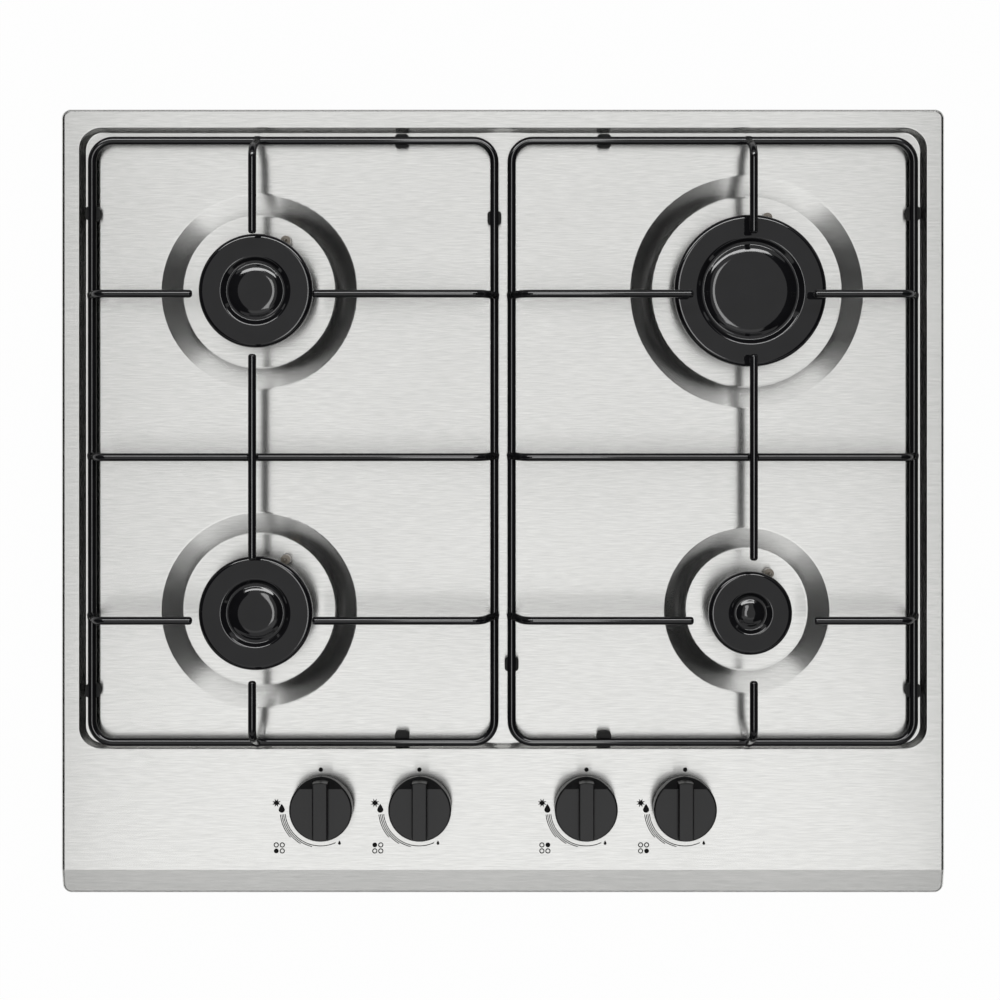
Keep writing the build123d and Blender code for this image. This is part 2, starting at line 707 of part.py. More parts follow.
def burner_crown(burner):
    """The flame spreader: a toothed ring with a neck that drops into the cup."""
    outer = crown_r(burner)
    inner = crown_inner_r(burner)
    neck = burner.rim_r - CUP_RIM_T - FIT_GAP
    seat = CUP_TOP_Z
    relief = seat + CROWN_RELIEF
    floor = seat + CROWN_FLOOR_T
    outline = [
        (neck - CROWN_NECK_T, seat - CROWN_NECK_L),
        (neck, seat - CROWN_NECK_L),
        (neck, seat),
        (burner.rim_r, seat),
        (burner.rim_r + CROWN_RELIEF, relief),
        (outer - CROWN_FOOT_RUN, relief),
        (outer, relief + CROWN_FOOT_RISE),
        (outer, CAP_SEAT_Z),
        (inner, CAP_SEAT_Z),
        (inner, floor + CROWN_FILLET),
        (inner - CROWN_FILLET, floor),
        (neck - CROWN_NECK_T, floor),
    ]
    crown = turned(outline)
    count = int(2 * pi * outer / PORT_PITCH)
    ports = [
        Rot(0, 0, 360 * (i + 0.5) / count)
        * block(inner - 1, outer + 1, -PORT_W / 2, PORT_W / 2, CAP_SEAT_Z - PORT_DEPTH, CAP_SEAT_Z + 1)
        for i in range(count)
    ]
    crown -= ports
    return Pos(burner.x, burner.y, 0) * crown


def burner_cap(burner):
    """The enamelled disc: a flat land, a groove, a flat middle, and a locating ring below."""
    radius = burner.cap_r
    top = CAP_TOP_Z
    seat = CAP_SEAT_Z
    ring_r = crown_inner_r(burner) - FIT_GAP
    lip = radius - cap_land_w(burner)
    groove_outer = lip - CAP_WALL_RUN
    groove_inner = groove_outer - CAP_GROOVE_RUN
    middle_r = groove_inner - CAP_SLOPE_RUN
    middle_z = top - CAP_MIDDLE_DROP
    groove_z = top - CAP_GROOVE_D
    points = [
        (0, seat),
        (ring_r - CAP_RING_T, seat),
        (ring_r - CAP_RING_T, seat - CAP_RING_H),
        (ring_r, seat - CAP_RING_H),
        (ring_r, seat),
        (radius - CAP_UNDER_CHAMFER, seat),
        (radius, seat + CAP_UNDER_CHAMFER),
        (radius, top),
        (lip, top),
        (groove_outer, groove_z),
        (groove_inner, groove_z),
        (middle_r, middle_z),
        (0, middle_z),
    ]
    outline = make_face(Polyline(*points, close=True))
    outline = fillet(corner_at(outline, radius, top), CAP_EDGE_R)
    outline = fillet(corner_at(outline, lip, top), CAP_LIP_R)
    outline = fillet(corner_at(outline, groove_outer, groove_z), CAP_GROOVE_RUN / 2)
    outline = fillet(corner_at(outline, middle_r, middle_z), CAP_MIDDLE_R)
    return Pos(burner.x, burner.y, 0) * revolve(Plane.XZ * outline, Axis.Z)


def cap_land_w(burner):
    """How wide the cap's flat land is, from the cap's edge to the groove's lip."""
    return AUX_CAP_LAND_W if burner.cap_r == AUX_CAP_R else CAP_LAND_W


def corner_at(outline, across, up):
    """The corner of a flat outline at this place."""
    return [v for v in outline.vertices() if abs(v.X - across) < 0.01 and abs(v.Y - up) < 0.01]


# ---------------------------------------------------------------- gas ways
def gas_rail():
    """A square tube along the front and up the right side, closed at its left end."""
    half = RAIL_SIDE / 2
    rear = rail_end_y()
    wall = RAIL_WALL
    rail = block(RAIL_LEFT_X, RAIL_X + half, RAIL_Y - half, RAIL_Y + half, GAS_Z - half, GAS_Z + half)
    rail += block(RAIL_X - half, RAIL_X + half, RAIL_Y - half, rear, GAS_Z - half, GAS_Z + half)
    low = half - wall
    rail -= block(RAIL_LEFT_X + wall, RAIL_X + low, RAIL_Y - low, RAIL_Y + low, GAS_Z - low, GAS_Z + low)
    rail -= block(RAIL_X - low, RAIL_X + low, RAIL_Y - low, rear, GAS_Z - low, GAS_Z + low)
    for burner in BURNERS:
        rail -= rod_y(burner.tap_x, GAS_Z, RAIL_Y, RAIL_Y + half, GAS_WAY_R)
    return rail


def rail_end_y():
    return PAN_REAR_Y - PAN_SHEET - INLET_HEX_L


def rail_brackets():
    """Small channels that carry the rail on the pan's floor."""
    half = RAIL_SIDE / 2
    top = GAS_Z - half
    spots = [(-RAIL_BRACKET_X, RAIL_Y), (RAIL_BRACKET_X, RAIL_Y), (RAIL_X, 0)]
    parts = []
    for x, y in spots:
        channel = block(x - half, x + half, y - half, y + half, PAN_FLOOR_Z, top)
        inner = half - BRACKET_T
        channel -= block(x - inner, x + inner, y - half, y + half, PAN_FLOOR_Z, top - BRACKET_T)
        parts.append(channel)
    return parts


def gas_inlet_fitting():
    """A hexagon on the rail's end, a neck through the pan's rear wall and a threaded stub."""
    start = rail_end_y()
    wall = PAN_REAR_Y - PAN_SHEET
    thread = PAN_REAR_Y + INLET_NECK_L
    end = thread + INLET_THREAD_L
    fitting = hex_y(RAIL_X, GAS_Z, start, wall, INLET_HEX)
    fitting += rod_y(RAIL_X, GAS_Z, wall, thread, INLET_NECK_R)
    fitting += rod_y(RAIL_X, GAS_Z, thread, end, INLET_THREAD_R)
    return fitting - rod_y(RAIL_X, GAS_Z, start, end, INLET_BORE_R)


def tap_body(burner):
    """A tap's brass body and its bonnet, which close round the plug."""
    x = burner.tap_x
    rail_face = RAIL_Y + RAIL_SIDE / 2
    body = cyl(x, TAP_Y, TAP_BOTTOM_Z, TAP_JOINT_Z, TAP_R)
    body += rod_y(x, GAS_Z, rail_face, TAP_Y, TAP_OUTLET_R)
    body += rod_y(x, GAS_Z, TAP_Y, TAP_REAR_Y, TAP_OUTLET_R)
    body -= plug_cone(x, PLUG_GAP)
    body -= rod_y(x, GAS_Z, rail_face, TAP_REAR_Y, GAS_WAY_R)
    body -= rod_y(x, GAS_Z, TAP_REAR_Y - PIPE_SOCKET, TAP_REAR_Y, PIPE_R + SLIDE_GAP)
    body -= cyl(x, TAP_Y, PLUG_TOP_Z, TAP_JOINT_Z, PLUG_TOP_R + PLUG_GAP)
    chamber_top = BONNET_TOP_Z - BONNET_ROOF_T
    bonnet = cyl(x, TAP_Y, TAP_JOINT_Z, BONNET_TOP_Z, BONNET_R)
    bonnet -= cyl(x, TAP_Y, TAP_JOINT_Z, chamber_top, PLUG_TOP_R + PLUG_GAP)
    bonnet -= cyl(x, TAP_Y, chamber_top, BONNET_TOP_Z, SPINDLE_R + SLIDE_GAP)
    return [body, bonnet]


def plug_cone(x, grow):
    height = PLUG_TOP_Z - PLUG_BOTTOM_Z + grow
    low = (Align.CENTER, Align.CENTER, Align.MIN)
    cone = Cone(PLUG_BOTTOM_R + grow, PLUG_TOP_R + grow, height, align=low)
    return Pos(x, TAP_Y, PLUG_BOTTOM_Z - grow) * cone


def tap_plug(burner):
    """The tapered plug that opens and shuts the gas way; shut, its cross hole lies along X."""
    x = burner.tap_x
    plug = plug_cone(x, 0)
    socket_low = PLUG_TOP_Z - SOCKET_DEPTH
    plug -= stem(x, socket_low, PLUG_TOP_Z, SLIDE_GAP, True)
    cross = Plane(origin=(x, TAP_Y, PLUG_BOTTOM_Z + PLUG_PORT_RISE), z_dir=(1, 0, 0))
    return plug - cross * Cylinder(PLUG_PORT_R, 4 * PLUG_TOP_R)


def stem(x, z_low, z_high, grow, flatted):
    """A length of spindle, round or with one flat, made fatter by grow for a hole."""
    bar = cyl(x, TAP_Y, z_low, z_high, SPINDLE_R + grow)
    if flatted:
        far = SPINDLE_R + 1
        bar -= block(x + SPINDLE_FLAT + grow, x + far, TAP_Y - far, TAP_Y + far, z_low, z_high)
    return bar


def spindle(burner):
    """The rod that carries the knob; its lower end slides and drives in the plug."""
    x = burner.tap_x
    rod = stem(x, SPINDLE_BOTTOM_Z, COLLAR_Z, 0, True)
    rod += stem(x, COLLAR_Z, KNOB_BASE_Z, 0, False)
    rod += stem(x, KNOB_BASE_Z, SPINDLE_TOP_Z, 0, True)
    return rod + cyl(x, TAP_Y, COLLAR_Z, COLLAR_TOP_Z, SPINDLE_COLLAR_R)


def return_spring(burner):
    """The space of the coil spring between the plug and the spindle's collar."""
    return ring(burner.tap_x, TAP_Y, PLUG_TOP_Z, COLLAR_Z, SPRING_R, SPRING_R - SPRING_T)


def pipe_route(burner):
    """From the tap's outlet to the cup's inlet, level all the way."""
    start_y = TAP_REAR_Y - PIPE_SOCKET
    end_y = cup_inlet_y(burner) + PIPE_SOCKET
    lead_in = NUT_L + PIPE_SOCKET + PIPE_BEND_R
    turn_a = start_y + lead_in
    turn_b = end_y - lead_in
    if burner.y > 0:
        turn_a = turn_b - PIPE_REAR_RUN
    spots = [(burner.tap_x, start_y), (burner.tap_x, turn_a), (burner.x, turn_b), (burner.x, end_y)]
    return [(x, y, GAS_Z) for x, y in spots]


def supply_pipes():
    return [tube(pipe_route(burner), PIPE_BEND_R, PIPE_R, PIPE_BORE_R) for burner in BURNERS]


def pipe_nuts():
    parts = []
    for burner in BURNERS:
        far = cup_inlet_y(burner)
        ends = [(burner.tap_x, TAP_REAR_Y), (burner.x, far - NUT_L)]
        for x, y in ends:
            nut = hex_y(x, GAS_Z, y, y + NUT_L, NUT_FLATS)
            parts.append(nut - rod_y(x, GAS_Z, y, y + NUT_L, PIPE_R + SLIDE_GAP))
    return parts


# ---------------------------------------------------------------- ignition and cable entry
def ignition_switches():
    """A flat switch housing on each bonnet, which the spindle passes through."""
    parts = []
    for burner in BURNERS:
        x = burner.tap_x
        half_w = SWITCH_W / 2
        half_d = SWITCH_D / 2
        top = BONNET_TOP_Z + SWITCH_H
        case = block(x - half_w, x + half_w, TAP_Y - half_d, TAP_Y + half_d, BONNET_TOP_Z, top)
        parts.append(case - cyl(x, TAP_Y, BONNET_TOP_Z, top, SWITCH_HOLE_R))
    return parts


def spark_generator():
    half_w = SPARK_W / 2
    half_d = SPARK_D / 2
    case = block(-half_w, half_w, SPARK_Y - half_d, SPARK_Y + half_d, PAN_FLOOR_Z, PAN_FLOOR_Z + SPARK_H)
    case = fillet(case.edges().filter_by(Axis.Z), SPARK_CORNER_R)
    for side in (-1, 1):
        for y in terminal_rows():
            post = Plane(origin=(side * half_w, y, LEAD_Z), z_dir=(side, 0, 0))
            base = (Align.CENTER, Align.CENTER, Align.MIN)
            case += post * Cylinder(TERMINAL_R, TERMINAL_L, align=base)
    return case


def terminal_rows():
    """The front and the rear row of terminals."""
    return SPARK_Y - TERMINAL_PITCH / 2, SPARK_Y + TERMINAL_PITCH / 2


def lead_route(burner):
    """Along the pan's floor, then up to the igniter's lower end."""
    side = 1 if burner.x > 0 else -1
    front_row, rear_row = terminal_rows()
    start_x = side * (SPARK_W / 2 + TERMINAL_L)
    x, y = igniter_place(burner)
    if burner.y > 0:
        corners = [(start_x, rear_row), (x, rear_row), (x, y)]
    else:
        run = side * LEAD_FRONT_X
        corners = [(start_x, front_row), (run, front_row), (run, y), (x, y)]
    route = [(px, py, LEAD_Z) for px, py in corners]
    return route + [(x, y, IGNITER_BOTTOM_Z)]


def ignition_leads():
    return [tube(lead_route(burner), LEAD_BEND_R, LEAD_R) for burner in BURNERS]


def cable_gland():
    """A gland in the rear wall, with a head outside, a stem through the wall and a nut inside."""
    wall = PAN_REAR_Y - PAN_SHEET
    gland = hex_y(GLAND_X, GLAND_Z, wall - GLAND_NUT_L, wall, 2 * GLAND_R)
    gland += rod_y(GLAND_X, GLAND_Z, wall, PAN_REAR_Y, GLAND_STEM_R)
    gland += rod_y(GLAND_X, GLAND_Z, PAN_REAR_Y, PAN_REAR_Y + GLAND_HEAD_L, GLAND_R)
    return gland - rod_y(GLAND_X, GLAND_Z, wall - GLAND_NUT_L, PAN_REAR_Y + GLAND_HEAD_L, GLAND_BORE_R)


# ---------------------------------------------------------------- knobs
def knob(burner):
    """A round knob with a raised grip bar, side lands and a steep slope behind them."""
    body = cyl(0, 0, KNOB_BASE_Z, KNOB_BODY_TOP_Z, KNOB_R)
    body = fillet(body.edges().filter_by(GeomType.CIRCLE).sort_by(Axis.Z)[-1], KNOB_EDGE_R)
    edge_y = KNOB_R - KNOB_SLOPE_RUN
    low_z = KNOB_BODY_TOP_Z - KNOB_SLOPE_DROP
    outline = Polyline(
        (edge_y, KNOB_BODY_TOP_Z),
        (KNOB_R + 1, low_z),
        (KNOB_R + 1, KNOB_BODY_TOP_Z + 1),
        (edge_y, KNOB_BODY_TOP_Z + 1),
        close=True,
    )
    body -= extrude(Plane.YZ * make_face(outline), KNOB_R, both=True)
    groove_x = KNOB_BAR_W / 2
    for side in (-1, 1):
        inner = side * groove_x
        outer = side * (groove_x + KNOB_GROOVE_W)
        low_x, high_x = sorted((inner, outer))
        body -= block(low_x, high_x, -KNOB_R, edge_y, KNOB_BODY_TOP_Z - KNOB_GROOVE_D, KNOB_BODY_TOP_Z)
    body += grip_bar()
    body -= ring(0, 0, KNOB_BASE_Z, KNOB_BASE_Z + KNOB_HOLLOW_H, KNOB_R - KNOB_WALL, KNOB_HUB_R)
    return Pos(burner.tap_x, TAP_Y, 0) * body - stem(burner.tap_x, KNOB_BASE_Z, bore_top(), SLIDE_GAP / 2, True)


def bore_top():
    return SPINDLE_TOP_Z + SPINDLE_END_GAP


def grip_bar():
    half = KNOB_BAR_W / 2
    bar = cyl(0, 0, KNOB_BODY_TOP_Z - KNOB_SLOPE_DROP, KNOB_TOP_Z, KNOB_R - KNOB_BAR_INSET)
    bar &= block(-half, half, -KNOB_R, KNOB_R, KNOB_BODY_TOP_Z - KNOB_SLOPE_DROP, KNOB_TOP_Z)
    return fillet(bar.edges().group_by(Axis.Z)[-1], KNOB_BAR_EDGE_R)


def spindle_seals():
    """Rubber grommets in the plate's holes, clear of the spindles."""
    inner = SPINDLE_R + FIT_GAP
    parts = []
    for burner in BURNERS:
        x = burner.tap_x
        seal = cyl(x, TAP_Y, UNDER_RIM_Z, RIM_Z, GROMMET_HOLE_R)
        seal += cyl(x, TAP_Y, RIM_Z, RIM_Z + GROMMET_LIP_T, GROMMET_LIP_R)
        seal += cyl(x, TAP_Y, UNDER_RIM_Z - GROMMET_LIP_T, UNDER_RIM_Z, GROMMET_LIP_R)
        parts.append(seal - cyl(x, TAP_Y, UNDER_RIM_Z - GROMMET_LIP_T, RIM_Z + GROMMET_LIP_T, inner))
    return parts


# ---------------------------------------------------------------- pan supports
def support_rim(side):
    """The wire loop that carries the bars; side is -1 on the left and 1 on the right."""
    width = SUPPORT_OUTER_X - SUPPORT_INNER_X
    depth = SUPPORT_REAR_Y - SUPPORT_FRONT_Y
    mid_x = side * (SUPPORT_OUTER_X + SUPPORT_INNER_X) / 2
    mid_y = (SUPPORT_REAR_Y + SUPPORT_FRONT_Y) / 2
    outline = Pos(mid_x, mid_y, RIM_WIRE_Z) * RectangleRounded(width, depth, SUPPORT_CORNER_R)
    path = outline.wires()[0]
    return sweep(Plane(origin=path @ 0, z_dir=path % 0) * Circle(RIM_WIRE_R), path)


def finger(rim_spot, tip_spot):
    """A wire that rises from the rim wire and runs level to a rounded tip."""
    start = Vector(rim_spot[0], rim_spot[1], RIM_WIRE_Z)
    inward = (Vector(*tip_spot) - Vector(*rim_spot)).normalized()
    knee = Vector(*rim_spot) + inward * LEG_RUN
    route = [start, Vector(knee.X, knee.Y, BAR_Z), Vector(tip_spot[0], tip_spot[1], BAR_Z)]
    wire = tube(route, LEG_BEND_R, BAR_R)
    far = Vector(tip_spot[0], tip_spot[1], BAR_Z)
    tip = [e for e in wire.edges().filter_by(GeomType.CIRCLE) if (e.arc_center - far).length < 0.01]
    return fillet(tip, FINGER_TIP_R)


def support_bars(side):
    """Seven wires and a cross bar, welded to the rim wire and to each other."""
    x = side * BURNER_X
    outer = side * SUPPORT_OUTER_X
    inner = side * SUPPORT_INNER_X
    rear_y = REAR_BURNER_Y - FINGER_SHIFT
    front_y = FRONT_BURNER_Y - FINGER_SHIFT
    gap = FINGER_GAP_R
    bars = [
        finger((x, SUPPORT_REAR_Y), (x, rear_y + gap)),
        finger((x, SUPPORT_FRONT_Y), (x, front_y - gap)),
    ]
    for y in (rear_y, front_y):
        bars.append(finger((outer, y), (x + side * gap, y)))
        bars.append(finger((inner, y), (x - side * gap, y)))
    middle = tube([(x, front_y + gap, BAR_Z), (x, rear_y - gap, BAR_Z)], 0, BAR_R)
    bars.append(fillet(middle.edges().filter_by(GeomType.CIRCLE), FINGER_TIP_R))
    bars.append(cross_bar(outer, inner, side))
    loop = support_rim(side)
    return [bar - loop for bar in bars]


def cross_bar(outer, inner, side):
    """The bar one wire lower, rim to rim, that the middle bar rests on."""
    low = BAR_Z - 2 * BAR_R
    route = [
        (outer, CROSS_BAR_Y, RIM_WIRE_Z),
        (outer - side * LEG_RUN, CROSS_BAR_Y, low),
        (inner + side * LEG_RUN, CROSS_BAR_Y, low),
        (inner, CROSS_BAR_Y, RIM_WIRE_Z),
    ]
    return tube(route, LEG_BEND_R, BAR_R)


def support_feet(side):
    """Rubber blocks under the rim wire, grooved to fit it, which stand on the well's floor."""
    inner_y = SUPPORT_REAR_Y - FOOT_INNER_REAR_INSET
    if side > 0:
        inner_y = SUPPORT_FRONT_Y + FOOT_INNER_FRONT_INSET
    spots = [
        (side * FOOT_X, SUPPORT_REAR_Y),
        (side * FOOT_X, SUPPORT_FRONT_Y + FOOT_FRONT_SHIFT),
        (side * SUPPORT_OUTER_X, SUPPORT_REAR_Y - FOOT_SIDE_REAR_INSET),
        (side * SUPPORT_OUTER_X, SUPPORT_FRONT_Y + FOOT_SIDE_FRONT_INSET),
        (side * SUPPORT_INNER_X, inner_y),
    ]
    loop = support_rim(side)
    parts = []
    for x, y in spots:
        outline = Plane.XY.offset(WELL_Z) * Pos(x, y) * RectangleRounded(FOOT_W, FOOT_W, FOOT_CORNER_R)
        foot = extrude(outline, RIM_WIRE_Z - WELL_Z)
        foot = chamfer(foot.edges().group_by(Axis.Z)[0], FOOT_CHAMFER)
        parts.append(foot - loop)
    return parts


# ---------------------------------------------------------------- writing the nodes
def save(node, shape):
    solids = shape if isinstance(shape, list) else [shape]
    flat = [solid for item in solids for solid in item.solids()]
    for solid in flat:
        solid.label = node
    whole = flat[0] if len(flat) == 1 else Compound(label=node, children=flat)
    export_step(whole, f"parts/{node}.step")


def main():
    os.makedirs("parts", exist_ok=True)
    save("top_plate", top_plate())
    save("worktop_seal", worktop_seal())
    save("base_pan", base_pan())
    save("base_pan_brackets", base_pan_brackets())
    save("base_pan_screws", base_pan_screws())
    save("worktop_clamps", worktop_clamps())
    save("clamp_screws", clamp_screws())
    save("gas_rail", gas_rail())
    save("rail_brackets", rail_brackets())
    save("gas_inlet_fitting", gas_inlet_fitting())
    save("supply_pipes", supply_pipes())
    save("pipe_nuts", pipe_nuts())
    save("injectors", injectors())
    save("burner_cup_screws", burner_cup_screws())
    save("igniter_insulators", igniter_insulators())
    save("igniter_electrodes", igniter_electrodes())
    save("ignition_leads", ignition_leads())
    save("ignition_switches", ignition_switches())
    save("spark_generator", spark_generator())
    save("cable_gland", cable_gland())
    save("spindle_seals", spindle_seals())
    for burner in BURNERS:
        save(f"burner_cup_{burner.name}", burner_cup(burner))
        save(f"burner_crown_{burner.name}", burner_crown(burner))
        save(f"burner_cap_{burner.name}", burner_cap(burner))
        save(f"tap_body_{burner.name}", tap_body(burner))
        save(f"tap_plug_{burner.name}", tap_plug(burner))
        save(f"return_spring_{burner.name}", return_spring(burner))
        save(f"spindle_{burner.name}", spindle(burner))
        save(f"knob_{burner.name}", knob(burner))
    for side, word in ((-1, "left"), (1, "right")):
        save(f"pan_support_rim_{word}", support_rim(side))
        save(f"pan_support_bars_{word}", support_bars(side))
        save(f"pan_support_feet_{word}", support_feet(side))


main()
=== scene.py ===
import json
import math

import bmesh
import bpy
from mathutils import Matrix, Vector

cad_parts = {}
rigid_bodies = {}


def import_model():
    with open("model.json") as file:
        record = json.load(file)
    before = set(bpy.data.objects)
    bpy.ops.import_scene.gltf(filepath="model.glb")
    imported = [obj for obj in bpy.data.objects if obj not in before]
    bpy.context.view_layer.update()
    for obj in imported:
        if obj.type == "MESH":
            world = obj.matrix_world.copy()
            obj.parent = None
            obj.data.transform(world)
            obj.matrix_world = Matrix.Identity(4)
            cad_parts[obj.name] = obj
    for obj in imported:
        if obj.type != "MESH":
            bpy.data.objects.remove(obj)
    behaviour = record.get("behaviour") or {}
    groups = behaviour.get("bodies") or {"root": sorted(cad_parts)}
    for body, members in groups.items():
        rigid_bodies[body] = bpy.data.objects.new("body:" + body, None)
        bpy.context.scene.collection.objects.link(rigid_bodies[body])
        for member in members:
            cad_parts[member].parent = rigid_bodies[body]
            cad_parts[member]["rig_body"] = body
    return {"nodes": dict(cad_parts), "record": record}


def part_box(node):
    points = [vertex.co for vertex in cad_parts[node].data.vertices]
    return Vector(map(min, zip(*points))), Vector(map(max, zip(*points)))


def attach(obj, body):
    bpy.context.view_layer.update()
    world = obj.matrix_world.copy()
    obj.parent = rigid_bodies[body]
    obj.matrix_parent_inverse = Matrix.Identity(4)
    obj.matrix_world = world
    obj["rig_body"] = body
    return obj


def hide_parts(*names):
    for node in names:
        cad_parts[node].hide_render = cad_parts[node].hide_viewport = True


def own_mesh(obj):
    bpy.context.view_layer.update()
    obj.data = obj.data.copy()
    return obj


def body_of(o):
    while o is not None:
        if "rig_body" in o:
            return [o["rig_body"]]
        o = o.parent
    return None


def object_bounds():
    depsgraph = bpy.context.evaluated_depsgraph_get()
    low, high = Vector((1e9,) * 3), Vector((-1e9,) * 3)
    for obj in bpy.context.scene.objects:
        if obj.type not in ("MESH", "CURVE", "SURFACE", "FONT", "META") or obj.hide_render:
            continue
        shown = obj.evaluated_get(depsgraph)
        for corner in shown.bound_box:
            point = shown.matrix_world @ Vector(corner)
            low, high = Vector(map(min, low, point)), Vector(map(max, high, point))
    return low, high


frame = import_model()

# A gas cooktop, seen from straight above on a white ground.
# Lengths are metres, x is to the right, y to the rear, and z = 0 is the worktop.

MM = 0.001
FULL_TURN = 2 * math.pi
QUARTER_TURN = math.pi / 2
UPRIGHT = (0, 0, 1)
CAD_BOX = [list(corner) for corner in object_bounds()]
BURNERS = ("front_left", "rear_left", "rear_right", "front_right")
SIDES = ("left", "right")

# ---------------------------------------------------------------- the picture's frame
RIM_Z = 8 * MM  # the plate's rim, above the well
CAMERA_ABOVE_RIM = 1130 * MM
CAMERA_Y = 84 * MM
PICTURE_W = 661.8 * MM  # what the picture shows at the rim's height
SENSOR_W = 36.0
SHIFT_X = -0.003
SHIFT_Y = -0.125
CLIP_END = 20.0

# ---------------------------------------------------------------- the studio
# Softboxes over the plate. Those marked enamel light only the black enamel.
LAMPS = {
    "front strip": {"spot": (0, -0.85, 2.0), "size": (1.7, 0.35), "power": 1.3, "enamel": False},
    "enamel strip": {"spot": (-0.1, 1.45, 1.95), "size": (2.6, 0.5), "power": 75, "enamel": True},
    "enamel ridge": {"spot": (0, 0.0, 2.2), "size": (0.4, 1.3), "power": 15, "enamel": True},
}
GREY_LIGHT = 0.5
# Cards that only reflections meet. A side card is narrower at its foot.
SIDE_CARD = {"x": 4.0, "low": -0.1, "high": 12.0, "depth": 16.8, "foot": 3.0, "shade": 0.004}
END_CARD = {"y": 2.6, "low": -0.1, "high": 1.5, "width": 8.0, "shade": 0.02}
SHADE_CARD = {"spot": (0, -2.15, 2.0), "width": 2.6, "depth": 0.5, "shade": 0.9}
FLOOR_SIZE = 12.0
FLOOR_SHADE = 0.9
FLOOR_WHITE = 0.98
FLOOR_GAP = MM

# ---------------------------------------------------------------- the pan supports
BURNER_X = 162.5 * MM
BURNER_Y = {"rear": 139.4 * MM, "front": -72.5 * MM}
FINGER_SHIFT = 2.7 * MM
SUPPORT_OUTER_X = 271.9 * MM
SUPPORT_INNER_X = 5.7 * MM
SUPPORT_REAR_Y = 239.0 * MM
SUPPORT_FRONT_Y = -158.9 * MM
CROSS_BAR_Y = 30.5 * MM
BAR_R = 2.6 * MM
BAR_Z = 32 * MM
BEAD_R = 3.3 * MM
BEAD_FLAT = 0.95
BEAD_RUN = 1.25  # how far a bead runs out along the rim wire
BAR_BEAD_RUN = 1.15
BEAD_RIPPLES = 7
BEAD_RIPPLE = 0.05
BEAD_STEPS = (18, 10)

# ---------------------------------------------------------------- the burner caps
CAP_LIP_R = {
    "front_left": 22.4 * MM,
    "rear_left": 22.4 * MM,
    "rear_right": 34.9 * MM,
    "front_right": 13.8 * MM,
}
CAP_T = 5.5 * MM
CAP_CHAMFER = 0.8 * MM
CAP_EDGE_R = 2.8 * MM
CAP_LIP_ROUND = 0.9 * MM
# The land stays flat between two rings: one inside the edge, one outside the lip.
CAP_LAND_OUTER = 3.4 * MM
CAP_LAND_INNER = 1.5 * MM
# The middle: how far inside the lip, how far below the land, and the corner's rounding.
CAP_MIDDLE = (
    (2.8 * MM, 2.4 * MM, 0.44 * MM),
    (4.6 * MM, 2.4 * MM, 0.44 * MM),
    (6.9 * MM, 1.2 * MM, 1.1 * MM),
    (10.4 * MM, 0.4 * MM, 1.3 * MM),
    (12.2 * MM, 0.4 * MM, None),
)
CAP_MIDDLE_DROP = 0.4 * MM
CAP_STEPS = 144
CAP_ROUND_STEPS = 6

# ---------------------------------------------------------------- the taps' return springs
SPRING_WIRE_R = 0.6 * MM
SPRING_WIRE_SIDES = 10
SPRING_TURNS = 5
STEPS_A_TURN = 24

# ---------------------------------------------------------------- the printed marks
PX = 0.6618 * MM
MARK_X = {
    "front_left": -120.8 * MM,
    "rear_left": -55.6 * MM,
    "rear_right": 55.0 * MM,
    "front_right": 120.3 * MM,
}
MARK_Y = -203.3 * MM
INK_T = 0.08 * MM
INK_SINK = 0.02 * MM
# Places and sizes in PX, from the middle of the print round a knob.
OFF_DOT = {"spot": (0.4, 39.5), "radius": 2.2}
SPARK = {"spot": (-44.0, 6.2), "outer": 4.6, "inner": 2.1, "points": 8}
BIG_FLAME = {"spot": (-38.7, 0.8), "width": 6.3, "height": 8.8}
SMALL_FLAME = {"spot": (19.0, -33.5), "width": 2.9, "height": 4.3}
ARC_CENTRE = (0.1, -1.2)
ARC_LINE = 0.8
ARC_START = 186  # degrees
ARCS = ((35.6, 295), (37.2, 257), (38.8, 239), (40.4, 222))  # radius, and end in degrees
PLAN_X = {"left": -44.2, "right": -38.2}
PLAN_Y = {"rear": -35.8, "front": -41.8}
PLAN_DISC_R = 2.4
PLAN_RING_R = 2.1
PLAN_RING_LINE = 1.0
DISC_STEPS = 20
RING_STEPS = 24
DROP_STEPS = 28
ARC_STEPS = 36
# How fast a drop's upper half draws in and rises to its point.
DROP_TAPER = 0.35
DROP_RISE = 1.6

# ---------------------------------------------------------------- the finishes
TONE_STOPS = (0.3, 0.7)
MOTTLE_SCALE = 60.0
MOTTLE_DETAIL = 4.0
GRAIN_DETAIL = 3.0
GRAIN_ROUGHNESS = 0.6
STEEL_DARK = (0.64, 0.64, 0.625)
STEEL_LIGHT = (0.77, 0.77, 0.753)
STEEL_ROUGH = (0.23, 0.28)
STEEL_BLUR = 0.9
STEEL_ACROSS = {"Y": 1.0, "Z": 0.02}
STEEL_GRAIN_DEPTH = 0.000004
STREAKS = {"stretch": (90, 1300, 90), "detail": 2.0, "roughness": 0.5}
CLOUDS = {"stretch": (7, 12, 7), "detail": 3.0, "roughness": 0.55}
GRAIN = {"stretch": (60, 620, 60), "detail": 2.0, "roughness": 0.5}
STREAK_SHARE = 0.65
CLOUD_SHARE = 0.35


# ---------------------------------------------------------------- material helpers
def node_tree(name):
    """A new material, its nodes and its shader."""
    material = bpy.data.materials.new(name)
    material.use_nodes = True
    return material, material.node_tree, material.node_tree.nodes["Principled BSDF"]


def add(tree, kind, **settings):
    node = tree.nodes.new("ShaderNode" + kind)
    for key, value in settings.items():
        setattr(node, key, value)
    return node


def place(tree, stretch):
    """Object coordinates, stretched."""
    coordinates = add(tree, "TexCoord")
    mapping = add(tree, "Mapping")
    mapping.inputs["Scale"].default_value = stretch
    tree.links.new(coordinates.outputs["Object"], mapping.inputs["Vector"])
    return mapping.outputs["Vector"]


